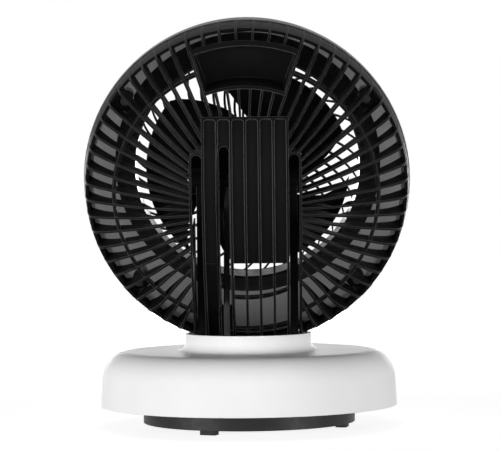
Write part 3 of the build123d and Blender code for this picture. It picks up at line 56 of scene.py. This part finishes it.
# The studio, in metres and watts.
WORLD_LIGHT = 0.06
FLOOR_HALF = 6.0
FLOOR_TONE = 0.8
FLOOR_GLOW = (0.84, 1.0)  # near the fan and far off
FLOOR_FADE = (0.25, 1.1)  # between these distances it changes
LAMP_AIM = (0.0, 0.0, 0.15)
LAMPS = (  # name, place, size, power
    ("side_left", (1.6, 1.2, 0.1), (0.9, 0.3), 35.0),
    ("side_right", (-1.6, 1.2, 0.1), (0.9, 0.3), 27.0),
    ("front_fill", (0.0, -1.8, 0.15), (1.6, 0.4), 24.0),
    ("camera_fill", (0.1, 2.3, 0.1), (1.4, 0.3), 9.0),
)

# Finishes. A noise is given by its scale per metre, its detail and its roughness.
WHITE = (0.87, 0.87, 0.87)
SHELL_TONE_AND_PAINTED_LIGHT = (0.26, 0.5)  # outside, and inside painted paler as painted light on the inner wall
SHELL_SPREAD = 0.08
SHELL_GLOW = (0.32, 0.8)  # share and tint of the light that passes through its thin wall
SHELL_SKIN = (117.6, 118.8)  # mm from the ball's middle, where inside turns into outside
PLASTIC_DRIFT = (35.0, 3.0)
PLASTIC_SHEEN = (220.0, 4.0, 0.6)
PLASTIC_GLOSS = (-0.05, 0.07)  # how far the roughness varies
PLASTIC_GRAIN = 900.0
PLASTIC_BUMP = 0.12
PLASTIC_RELIEF = 0.00015
HIGHLIGHT_TURN = (0.86, 0.985)  # cosine of the turn at which an edge's painted highlight is full and at which it is gone
RUBBER_DUST = (160.0, 4.0, 0.65)
RUBBER_GRAIN = 1500.0
STEEL_MARKS = 900.0
STEEL_WEAR = (300.0, 3.0)
STEEL_GLOSS = (-0.06, 0.1)
STEEL_EDGE = 0.2
LACQUER_DRIFT = (60.0, 4.0)
LACQUER_PEEL = 500.0
BOARD_TRACKS = 260.0
BOARD_GREENS = ((0.015, 0.11, 0.045, 1), (0.02, 0.14, 0.055, 1), (0.05, 0.24, 0.1, 1))

# The head's own frame, in millimetres: Y runs back along the fan's axis from the ball's middle.
PIVOT_Z = 179.5
HEAD_TILT = 13.8
BALL_R = 119.7
SOFT_EDGE = radians(35)  # edges that turn less are shaded smooth

# The basket's skin near its rim is an arc. Its ribs swell from there to the ball.
KNUCKLE_R = 51.5
KNUCKLE_X = 67.7
KNUCKLE_Y = 4.0
SWELL_Y = 8.0  # the swelling grows up to here
FULL_Y = 33.0  # the ribs keep to the ball this far behind the parting line
FADE_Y = 66.0  # and meet the crown again here
RIB_CLEAR = 0.2
SWELL_DEPTH = (18.0, 6.0)  # inside the skin, where the swelling starts and is full
SLOT_ZONE = (58.0, 72.0)  # nearer the middle than this the slots keep their width

# The wall behind the parting line, open at the tilt slots and the lead slot.
RIM_WALL_Y = (3.5, 24.0)
RIM_WALL_ROWS = 6
RIM_WALL_STEP = 0.8  # under the ball
RIM_WALL_T = 2.2
RIM_WALL_SPANS = (  # from X to X, and the number of steps; the first span goes over the top
    (37.9, -37.9, 150),
    (29.9, 18.5, 6),
    (11.0, -29.9, 20),
)

# Webs beside the tilt slots: X, and corners in Y and Z.
WEB_X = (37.75, 38.95)
WEB_SHAPE = (
    (15.0, -24.0),
    (66.0, -24.0),
    (60.0, -50.0),
    (50.0, -68.0),
    (30.0, -88.0),
    (15.0, -97.0),
)

# One blade: radius, angle of the front edge, angle of the rear edge, their two depths.
BLADE_STATIONS = (
    (23.0, 2.0, 100.0, -67.0, -52.0),
    (31.0, 9.0, 114.0, -65.0, -50.5),
    (45.0, 20.0, 124.0, -60.0, -38.0),
    (52.0, 28.0, 128.0, -58.5, -34.5),
    (60.0, 35.0, 131.5, -58.0, -34.0),
    (67.0, 41.0, 137.0, -58.0, -34.0),
    (72.0, 45.0, 140.5, -58.0, -34.5),
    (76.5, 49.5, 146.0, -57.0, -36.0),
)
BLADES = 3
BLADE_ROWS = 24
BLADE_STEPS = 40
BLADE_T = 1.8
BLADE_CAMBER = 3.0
BLADE_THIN = (0.35, 6)  # share of the thickness left at an edge; one part in six thins out to it
CUP = (24.0, 2.2, 3.0, -70.0, -49.0)  # radius, wall, round, front and back
CUP_ROUND = (30, 60, 90)
CUP_SIDES = 72
SLEEVE = (7.0, 3.0, 14.0)  # radius, bore and length


# ---------------------------------------------------------------- node helpers
class Tree:
    """A node tree with short calls for the nodes used here. They take and give sockets."""

    def __init__(self, tree):
        self.nodes = tree.nodes
        self.links = tree.links
        self.nodes.clear()

    def add(self, kind, **settings):
        node = self.nodes.new(kind)
        for key, value in settings.items():
            setattr(node, key, value)
        return node

    def feed(self, entry, value):
        """Link another node's output to an input, or set a number or colour on it."""
        if isinstance(value, bpy.types.NodeSocket):
            self.links.new(value, entry)
        else:
            entry.default_value = value

    def coords(self):
        """Place on the object, in metres."""
        return self.add("ShaderNodeTexCoord").outputs["Object"]

    def noise(self, scale, detail=2.0, rough=0.5):
        node = self.add("ShaderNodeTexNoise")
        self.feed(node.inputs["Scale"], scale)
        self.feed(node.inputs["Detail"], detail)
        self.feed(node.inputs["Roughness"], rough)
        self.feed(node.inputs["Vector"], self.coords())
        return node.outputs["Fac"]

    def ramp(self, value, low, high, at=(0.35, 0.65)):
        node = self.add("ShaderNodeValToRGB")
        for stop, place, color in zip(node.color_ramp.elements, at, (low, high)):
            stop.position = place
            stop.color = color
        self.feed(node.inputs["Fac"], value)
        return node.outputs["Color"]

    def map_range(self, value, start, end, **settings):
        node = self.add("ShaderNodeMapRange", **settings)
        for name, number in zip(("From Min", "From Max", "To Min", "To Max"), (*start, *end)):
            self.feed(node.inputs[name], number)
        self.feed(node.inputs["Value"], value)
        return node.outputs["Result"]

    def combine(self, kind, operation, first, second):
        """Value of a maths node, plain or vector, with two inputs."""
        node = self.add(kind, operation=operation)
        self.feed(node.inputs[0], first)
        self.feed(node.inputs[1], second)
        return node.outputs["Value"]

    def mixed_color(self, share, plain, other):
        factor, first, second, result = 0, 6, 7, 2  # the colour mix's own sockets
        node = self.add("ShaderNodeMix", data_type="RGBA")
        self.feed(node.inputs[factor], share)
        self.feed(node.inputs[first], plain)
        self.feed(node.inputs[second], other)
        return node.outputs[result]

    def mixed_shader(self, share, plain, other):
        node = self.add("ShaderNodeMixShader")
        self.feed(node.inputs[0], share)
        self.feed(node.inputs[1], plain)
        self.feed(node.inputs[2], other)
        return node.outputs[0]

    def rounding(self, edge, samples=6):
        """Normal that rounds the mesh's edges over some millimetres."""
        node = self.add("ShaderNodeBevel", samples=samples)
        self.feed(node.inputs["Radius"], edge * MM)
        return node.outputs["Normal"]

    def relief(self, height, strength, depth, normal=None):
        node = self.add("ShaderNodeBump")
        self.feed(node.inputs["Strength"], strength)
        self.feed(node.inputs["Distance"], depth)
        self.feed(node.inputs["Height"], height)
        if normal:
            self.feed(node.inputs["Normal"], normal)
        return node.outputs["Normal"]

    def background_rays(self):
        """1 for camera, glossy and transmission rays, which see the background as white."""
        rays = self.add("ShaderNodeLightPath").outputs
        through = self.combine(
            "ShaderNodeMath", "MAXIMUM", rays["Is Glossy Ray"], rays["Is Transmission Ray"]
        )
        return self.combine("ShaderNodeMath", "MAXIMUM", rays["Is Camera Ray"], through)


class Shader(Tree):
    """A material with a Principled shader."""

    def __init__(self, name):
        self.material = bpy.data.materials.new(name)
        self.material.use_nodes = True
        super().__init__(self.material.node_tree)
        self.bsdf = self.add("ShaderNodeBsdfPrincipled")
        self.surface = self.add("ShaderNodeOutputMaterial").inputs["Surface"]
        self.feed(self.surface, self.bsdf.outputs["BSDF"])

    def set(self, **values):
        for key, value in values.items():
            self.feed(self.bsdf.inputs[key.replace("_", " ")], value)


def grey(value):
    return (value, value, value, 1.0)


def tinted(color, share):
    return (*(min(1.0, c * share) for c in color), 1.0)


# ---------------------------------------------------------------- materials
def painted_edge_highlight(m, tone, highlight_tone, edge):
    """The tone, painted paler as a highlight where a rounded edge turns away from its flats."""
    flat = m.add("ShaderNodeNewGeometry").outputs["True Normal"]
    turn = m.combine("ShaderNodeVectorMath", "DOT_PRODUCT", m.rounding(edge), flat)
    return m.mixed_color(m.ramp(turn, grey(1.0), grey(0.0), HIGHLIGHT_TURN), tone, grey(highlight_tone))


def moulded(
    name,
    color,
    rough,
    grain=PLASTIC_GRAIN,
    bump=PLASTIC_BUMP,
    edge=0.35,
    spread=0.12,
    specular=0.5,
    highlight_tone=0.0,
):
    """Moulded plastic: fine spark-eroded grain, slow colour drift, rounded edges, and a painted
    highlight along the edges if asked.
    """
    m = Shader(name)
    tone = m.ramp(m.noise(*PLASTIC_DRIFT), tinted(color, 1 - spread), tinted(color, 1 + spread))
    # Painted highlight: the colour goes paler along rounded edges.
    if highlight_tone:
        tone = painted_edge_highlight(m, tone, highlight_tone, edge)
    gloss = m.ramp(m.noise(*PLASTIC_SHEEN), *(grey(rough + d) for d in PLASTIC_GLOSS), at=(0.3, 0.7))
    normal = m.relief(m.noise(grain), bump, PLASTIC_RELIEF, m.rounding(edge))
    m.set(Base_Color=tone, Roughness=gloss, Specular_IOR_Level=specular, Normal=normal)
    return m.material


def rubber(name, color):
    """Matt rubber with a dusty bloom."""
    m = Shader(name)
    tone = m.ramp(m.noise(*RUBBER_DUST), tinted(color, 0.8), tinted(color, 1.7), at=(0.4, 0.75))
    normal = m.relief(m.noise(RUBBER_GRAIN), strength=0.25, depth=0.0001)
    m.set(Base_Color=tone, Roughness=0.78, Specular_IOR_Level=0.35, Normal=normal)
    return m.material


def turned_steel(name, color, rough):
    """Turned or stamped steel with fine tool marks."""
    m = Shader(name)
    marks = m.add("ShaderNodeTexWave", wave_type="RINGS", rings_direction="SPHERICAL")
    m.feed(marks.inputs["Vector"], m.coords())
    m.feed(marks.inputs["Scale"], STEEL_MARKS)
    m.feed(marks.inputs["Distortion"], 2.0)
    tone = m.ramp(marks.outputs["Fac"], tinted(color, 0.86), tinted(color, 1.05), at=(0.1, 0.9))
    gloss = m.ramp(m.noise(*STEEL_WEAR), *(grey(rough + d) for d in STEEL_GLOSS))
    m.set(Base_Color=tone, Metallic=1.0, Roughness=gloss, Normal=m.rounding(STEEL_EDGE, samples=4))
    return m.material


def lacquer(name, color):
    """Dark lacquered steel with a slight orange peel."""
    m = Shader(name)
    tone = m.ramp(m.noise(*LACQUER_DRIFT), tinted(color, 0.8), tinted(color, 1.25))
    normal = m.relief(m.noise(LACQUER_PEEL), strength=0.1, depth=0.0002)
    m.set(Base_Color=tone, Metallic=0.25, Roughness=0.38, Specular_IOR_Level=0.5, Normal=normal)
    return m.material


def solder_mask(name):
    """Green board with faint copper tracks under the lacquer."""
    m = Shader(name)
    tracks = m.add("ShaderNodeTexBrick")
    m.feed(tracks.inputs["Vector"], m.coords())
    m.feed(tracks.inputs["Scale"], BOARD_TRACKS)
    for entry, green in zip(("Color1", "Color2", "Mortar"), BOARD_GREENS):
        m.feed(tracks.inputs[entry], green)
    m.set(Base_Color=tracks.outputs["Color"], Roughness=0.3)
    return m.material


def shell_finish():
    """Charcoal moulding, matt, with its inside painted paler to stand in for light on the inner wall;
    its thin wall lets some light through.
    """
    m = Shader("shell plastic")
    # The inner grey is painted light, paler than the outer charcoal of the same moulding.
    outer, inner = SHELL_TONE_AND_PAINTED_LIGHT
    outside = m.ramp(
        m.noise(*PLASTIC_DRIFT), grey(outer * (1 - SHELL_SPREAD)), grey(outer * (1 + SHELL_SPREAD))
    )
    reach = m.combine("ShaderNodeVectorMath", "DISTANCE", m.coords(), (0, 0, PIVOT_Z * MM))
    low, high = (depth * MM for depth in SHELL_SKIN)
    inside = m.map_range(reach, (high, low), (0.0, 1.0))
    m.set(
        Base_Color=m.mixed_color(inside, outside, grey(inner)),
        Roughness=0.45,
        Specular_IOR_Level=0.3,
        Normal=m.relief(m.noise(PLASTIC_GRAIN), PLASTIC_BUMP, PLASTIC_RELIEF),
    )
    share, tint = SHELL_GLOW
    passed = m.add("ShaderNodeBsdfTranslucent")
    m.feed(passed.inputs["Color"], grey(tint))
    m.feed(m.surface, m.mixed_shader(share, m.bsdf.outputs[0], passed.outputs[0]))
    return m.material


# One finish for each material slot of the record.
MATERIALS = {
    # Black plastic has a painted highlight along its rounded edges.
    "black_plastic": moulded(
        "black plastic", (0.0036, 0.0036, 0.0038), 0.5, specular=0.05, edge=0.5, highlight_tone=0.13
    ),
    "foot_black": moulded("foot plastic", (0.006, 0.006, 0.0065), 0.5, specular=0.25),
    "charcoal_plastic": moulded("charcoal plastic", (0.2, 0.2, 0.205), 0.42, edge=0.6, specular=0.3),
    "white_plastic": moulded(
        "white plastic", WHITE, 0.5, grain=1100.0, bump=0.05, edge=0.8, spread=0.012, specular=0.12
    ),
    "feet_rubber": rubber("feet rubber", (0.016, 0.016, 0.016)),
    "lead_sleeve": rubber("lead sleeve", (0.012, 0.012, 0.012)),
    "nylon": moulded("natural nylon", (0.66, 0.65, 0.6), 0.4, spread=0.04),
    "steel": turned_steel("turned steel", (0.6, 0.6, 0.61), 0.3),
    "motor_metal": lacquer("motor lacquer", (0.02, 0.02, 0.022)),
    "board_green": solder_mask("solder mask"),
}

# Nodes and new pieces whose finish differs from the rest of their slot.
OWN_FINISH = {
    # The rim wall is a darker copy of the black plastic: painted shade between the ribs.
    "rim_wall": moulded("rim plastic", (0.003, 0.003, 0.0032), 0.5, specular=0.05),
    "front_shell": shell_finish(),
    "air_duct": moulded("duct plastic", (0.005, 0.005, 0.0053), 0.3, specular=0.2),
    "impeller": moulded("blade plastic", (0.0035, 0.0035, 0.0037), 0.4, specular=0.05),
    "front_grille": moulded("guard plastic", (0.005, 0.005, 0.0053), 0.4, specular=0.08),
    "shell_screws": lacquer("blacked steel", (0.012, 0.012, 0.013)),
    "mount_screws": lacquer("blacked mount steel", (0.014, 0.014, 0.015)),
}


def dress_nodes():
    """Each CAD node gets the material of its slot, or its own finish."""
    for entry in frame["record"]["subparts"]:
        name = entry["node"]
        node = frame["nodes"][name]
        node.data.materials.clear()
        node.data.materials.append(OWN_FINISH.get(name, MATERIALS[entry["material_slot"]]))


# ---------------------------------------------------------------- shape helpers
def smooth(value):
    """Smooth step from 0 to 1."""
    value = min(1.0, max(0.0, value))
    return value * value * (3 - 2 * value)


def new_object(name, data):
    """A new object in the scene."""
    thing = bpy.data.objects.new(name, data)
    bpy.context.scene.collection.objects.link(thing)
    return thing


def head_matrix():
    """From the head's own frame, in metres, to the row frame at rest."""
    return Matrix.Translation((0, 0, PIVOT_Z * MM)) @ Matrix.Rotation(radians(-HEAD_TILT), 4, "X")


def head_piece(name, corners, faces, finish):
    """A new piece from corners in the head's frame, in millimetres."""
    mesh = bpy.data.meshes.new(name)
    place = head_matrix()
    mesh.from_pydata([place @ (Vector(corner) * MM) for corner in corners], [], faces)
    edit = bmesh.new()
    edit.from_mesh(mesh)
    bmesh.ops.recalc_face_normals(edit, faces=edit.faces)
    for face in edit.faces:
        face.smooth = True
    for edge in edit.edges:
        edge.smooth = edge.calc_face_angle(pi) < SOFT_EDGE
    edit.to_mesh(mesh)
    edit.free()
    mesh.materials.append(finish)
    return new_object(name, mesh)


def around(radius, depth, angle):
    """Point of the head's frame at an angle about the fan's axis, from the top towards +X."""
    return (radius * sin(angle), depth, radius * cos(angle))


def strip_faces(rows, count, first, rows_close=False, ends_meet=False):
    """Quads between neighbouring rows of corners."""
    faces = []
    for row in range(rows if rows_close else rows - 1):
        here, there = first + row * count, first + (row + 1) % rows * count
        for n in range(count if ends_meet else count - 1):
            after = (n + 1) % count
            faces.append((here + n, here + after, there + after, there + n))
    return faces


# ---------------------------------------------------------------- basket
def knuckle_skin(depth):
    """Radius of the basket's skin at a depth, as long as its arc goes."""
    under = min(KNUCKLE_R, depth - KNUCKLE_Y)
    return KNUCKLE_X + (KNUCKLE_R**2 - under**2) ** 0.5


def swell(y):
    """How far the ribs stand out past the arc of the basket's skin."""
    depth = min(y, FULL_Y)
    ball = (BALL_R**2 - depth**2) ** 0.5 - RIB_CLEAR
    fade = 1 - smooth((y - FULL_Y) / (FADE_Y - FULL_Y))
    return (ball - knuckle_skin(depth)) * fade * smooth(y / SWELL_Y)


def swollen(point):
    """A basket point in the head's frame, moved out so that the ribs follow the ball."""
    x, y, z = point
    if not KNUCKLE_Y < y < FADE_Y:
        return point
    radius = (x * x + z * z) ** 0.5
    start, full = SWELL_DEPTH
    share = smooth((radius - knuckle_skin(y) + start) / (start - full))
    if share == 0.0:
        return point
    reach = radius + swell(y) * share
    out = (x * reach / radius, y, z * reach / radius)
    if z > 0:
        return out
    low, high = SLOT_ZONE
    down = (x, y, -((reach**2 - x * x) ** 0.5))
    mix = smooth((abs(x) - low) / (high - low))
    return tuple(a + (b - a) * mix for a, b in zip(down, out))


def full_basket():
    """The rear basket's mesh with its ribs out on the ball near the rim."""
    mesh = frame["nodes"]["rear_grille"].data.copy()
    place = head_matrix()
    back = place.inverted()
    for vertex in mesh.vertices:
        point = tuple((back @ vertex.co) / MM)
        moved = swollen(point)
        if moved != point:
            vertex.co = place @ (Vector(moved) * MM)
    piece = new_object("basket_full", mesh)
    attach(piece, "head")
    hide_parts("rear_grille")


def rim_angle(x, radius):
    """Angle from the top at which the lower half of a ring is at X = x."""
    return pi - asin(x / radius)


def rim_wall():
    """Closed wall behind the parting line, on the ball, open at the slots."""
    low, high = RIM_WALL_Y
    skin = [low + (high - low) * n / RIM_WALL_ROWS for n in range(RIM_WALL_ROWS + 1)]
    loop = [((BALL_R**2 - y * y) ** 0.5 - RIM_WALL_STEP, y) for y in skin]
    loop += [(r - RIM_WALL_T, y) for r, y in reversed(loop)]
    corners, faces = [], []
    for start, end, steps in RIM_WALL_SPANS:
        first, count = len(corners), steps + 1
        for r, y in loop:
            begin = rim_angle(start, r)
            stop = -begin if end == -start else rim_angle(end, r)
            corners += [around(r, y, begin + (stop - begin) * n / steps) for n in range(count)]
        faces += strip_faces(len(loop), count, first, rows_close=True)
        for n in (0, steps):
            faces.append([first + row * count + n for row in range(len(loop))])
    piece = head_piece("rim_wall", corners, faces, OWN_FINISH["rim_wall"])
    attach(piece, "head")


def slot_webs():
    """Thin moulded webs that stiffen the slots' outer walls from inside."""
    corners, faces = [], []
    count = len(WEB_SHAPE)
    for side in (1, -1):
        first = len(corners)
        for x in WEB_X:
            corners += [(side * x, y, z) for y, z in WEB_SHAPE]
        faces += [[start + n for n in range(count)] for start in (first, first + count)]
        faces += strip_faces(2, count, first, ends_meet=True)
    piece = head_piece("slot_webs", corners, faces, MATERIALS["black_plastic"])
    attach(piece, "head")


# ---------------------------------------------------------------- impeller
def blade_station(radius):
    """Front and rear edge angles and depths at a radius."""
    for near, far in zip(BLADE_STATIONS, BLADE_STATIONS[1:]):
        if radius <= far[0]:
            share = (radius - near[0]) / (far[0] - near[0])
            return [a + (b - a) * share for a, b in zip(near[1:], far[1:])]
    return list(BLADE_STATIONS[-1][1:])


def blade_point(radius, share, turn, side):
    """Point of a blade's skin; share runs from its front edge to its rear edge."""
    front, rear, front_y, rear_y = blade_station(radius)
    thin, parts = BLADE_THIN
    full = min(1.0, parts * share, parts * (1 - share))
    middle = front_y + (rear_y - front_y) * share + BLADE_CAMBER * sin(pi * share)
    depth = middle + side * BLADE_T / 2 * (thin + (1 - thin) * full)
    return around(radius, depth, radians(front + (rear - front) * share + turn))


def blade_mesh(turn, first):
    """Corners and faces of one closed blade."""
    inner, outer = BLADE_STATIONS[0][0], BLADE_STATIONS[-1][0]
    last_row, width = BLADE_ROWS - 1, BLADE_STEPS + 1
    radii = [inner + (outer - inner) * n / last_row for n in range(BLADE_ROWS)]
    corners = []
    for side in (1, -1):
        for radius in radii:
            corners += [blade_point(radius, n / BLADE_STEPS, turn, side) for n in range(width)]
    under = BLADE_ROWS * width
    faces = strip_faces(BLADE_ROWS, width, first)
    faces += strip_faces(BLADE_ROWS, width, first + under)
    rim = [(0, n) for n in range(BLADE_STEPS)]
    rim += [(row, BLADE_STEPS) for row in range(last_row)]
    rim += [(last_row, n) for n in range(BLADE_STEPS, 0, -1)]
    rim += [(row, 0) for row in range(last_row, 0, -1)]
    rim = [first + row * width + n for row, n in rim]
    for here, there in zip(rim, rim[1:] + rim[:1]):
        faces.append((here, there, there + under, here + under))
    return corners, faces


def cup_mesh(first):
    """Corners and faces of the hub cup with its sleeve."""
    radius, wall, turn_r, front, back = CUP
    sleeve, bore, length = SLEEVE
    inside = front + turn_r
    loop = [(bore, front), (radius - turn_r, front)]
    for angle in map(radians, CUP_ROUND):
        loop.append((radius - turn_r + turn_r * sin(angle), inside - turn_r * cos(angle)))
    loop += [(radius, back), (radius - wall, back), (radius - wall, inside)]
    loop += [(sleeve, inside), (sleeve, front + length), (bore, front + length)]
    angles = [2 * pi * n / CUP_SIDES for n in range(CUP_SIDES)]
    corners = [around(r, y, angle) for r, y in loop for angle in angles]
    return corners, strip_faces(len(loop), CUP_SIDES, first, rows_close=True, ends_meet=True)


def swept_impeller():
    """Three broad blades, twisted from the cup out to a deep swept tip."""
    corners, faces = cup_mesh(0)
    for n in range(BLADES):
        more, quads = blade_mesh(n * 360 / BLADES, len(corners))
        corners += more
        faces += quads
    piece = head_piece("impeller_swept", corners, faces, OWN_FINISH["impeller"])
    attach(piece, "rotor")
    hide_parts("impeller")


# ---------------------------------------------------------------- studio
def make_floor():
    """Pale floor, white to the camera, that keeps the fan's soft shadow."""
    mesh = bpy.data.meshes.new("floor")
    signs = ((-1, -1), (1, -1), (1, 1), (-1, 1))
    mesh.from_pydata([(x * FLOOR_HALF, y * FLOOR_HALF, 0) for x, y in signs], [], [(0, 1, 2, 3)])
    m = Shader("floor white")
    m.nodes.remove(m.bsdf)
    diffuse = m.add("ShaderNodeBsdfDiffuse")
    m.feed(diffuse.inputs["Color"], grey(FLOOR_TONE))
    reach = m.add("ShaderNodeVectorMath", operation="LENGTH")
    m.feed(reach.inputs[0], m.coords())
    fade = m.map_range(reach.outputs["Value"], FLOOR_FADE, FLOOR_GLOW, interpolation_type="SMOOTHSTEP")
    glow = m.add("ShaderNodeEmission")
    m.feed(glow.inputs["Strength"], fade)
    both = m.add("ShaderNodeAddShader")
    m.feed(both.inputs[0], diffuse.outputs[0])
    m.feed(both.inputs[1], glow.outputs[0])
    m.feed(m.surface, m.mixed_shader(m.background_rays(), diffuse.outputs[0], both.outputs[0]))
    mesh.materials.append(m.material)
    floor = new_object("floor", mesh)


def make_world():
    """White to camera, glossy and transmission rays, and a soft grey as light."""
    world = bpy.data.worlds.new("studio")
    bpy.context.scene.world = world
    world.use_nodes = True
    w = Tree(world.node_tree)
    lights = []
    for strength in (WORLD_LIGHT, 1.0):
        light = w.add("ShaderNodeBackground")
        w.feed(light.inputs["Strength"], strength)
        w.feed(light.inputs["Color"], grey(1.0))
        lights.append(light.outputs[0])
    surface = w.add("ShaderNodeOutputWorld").inputs["Surface"]
    w.feed(surface, w.mixed_shader(w.background_rays(), *lights))


def soft_box(name, place, size, power):
    """Rectangular area lamp that looks at the fan."""
    data = bpy.data.lights.new(name, "AREA")
    data.shape = "RECTANGLE"
    data.size, data.size_y = size
    data.energy = power
    lamp = new_object(name, data)
    lamp.location = place
    lamp.rotation_euler = (Vector(LAMP_AIM) - Vector(place)).to_track_quat("-Z", "Y").to_euler()


def make_lights():
    """Two low side boxes, one in front of the fan and a weak one behind the camera."""
    for lamp in LAMPS:
        soft_box(*lamp)


def make_camera():
    """Camera behind the fan, level with the lower half of the head."""
    turn = radians(CAMERA_TURN)
    place = Vector((-CAMERA_DISTANCE * sin(turn), CAMERA_DISTANCE * cos(turn), CAMERA_HEIGHT))
    aim_x = -CAMERA_DISTANCE * AXIS_PX / FOCAL_PX
    aim_z = CAMERA_HEIGHT - CAMERA_DISTANCE * HORIZON_PX / FOCAL_PX
    look = (Vector((aim_x, 0, aim_z)) - place).to_track_quat("-Z", "Y").to_matrix().to_4x4()
    roll = Matrix.Rotation(radians(-CAMERA_ROLL), 4, "Z")
    data = bpy.data.cameras.new("camera")
    data.sensor_width = SENSOR
    data.lens = FOCAL_PX / PHOTO_W * SENSOR
    camera = new_object("camera", data)
    camera.matrix_world = Matrix.Translation(place) @ look @ roll
    bpy.context.scene.camera = camera


dress_nodes()
full_basket()
rim_wall()
slot_webs()
swept_impeller()
make_floor()
make_world()
make_lights()
make_camera()
bpy.context.scene.view_settings.view_transform = "Standard"
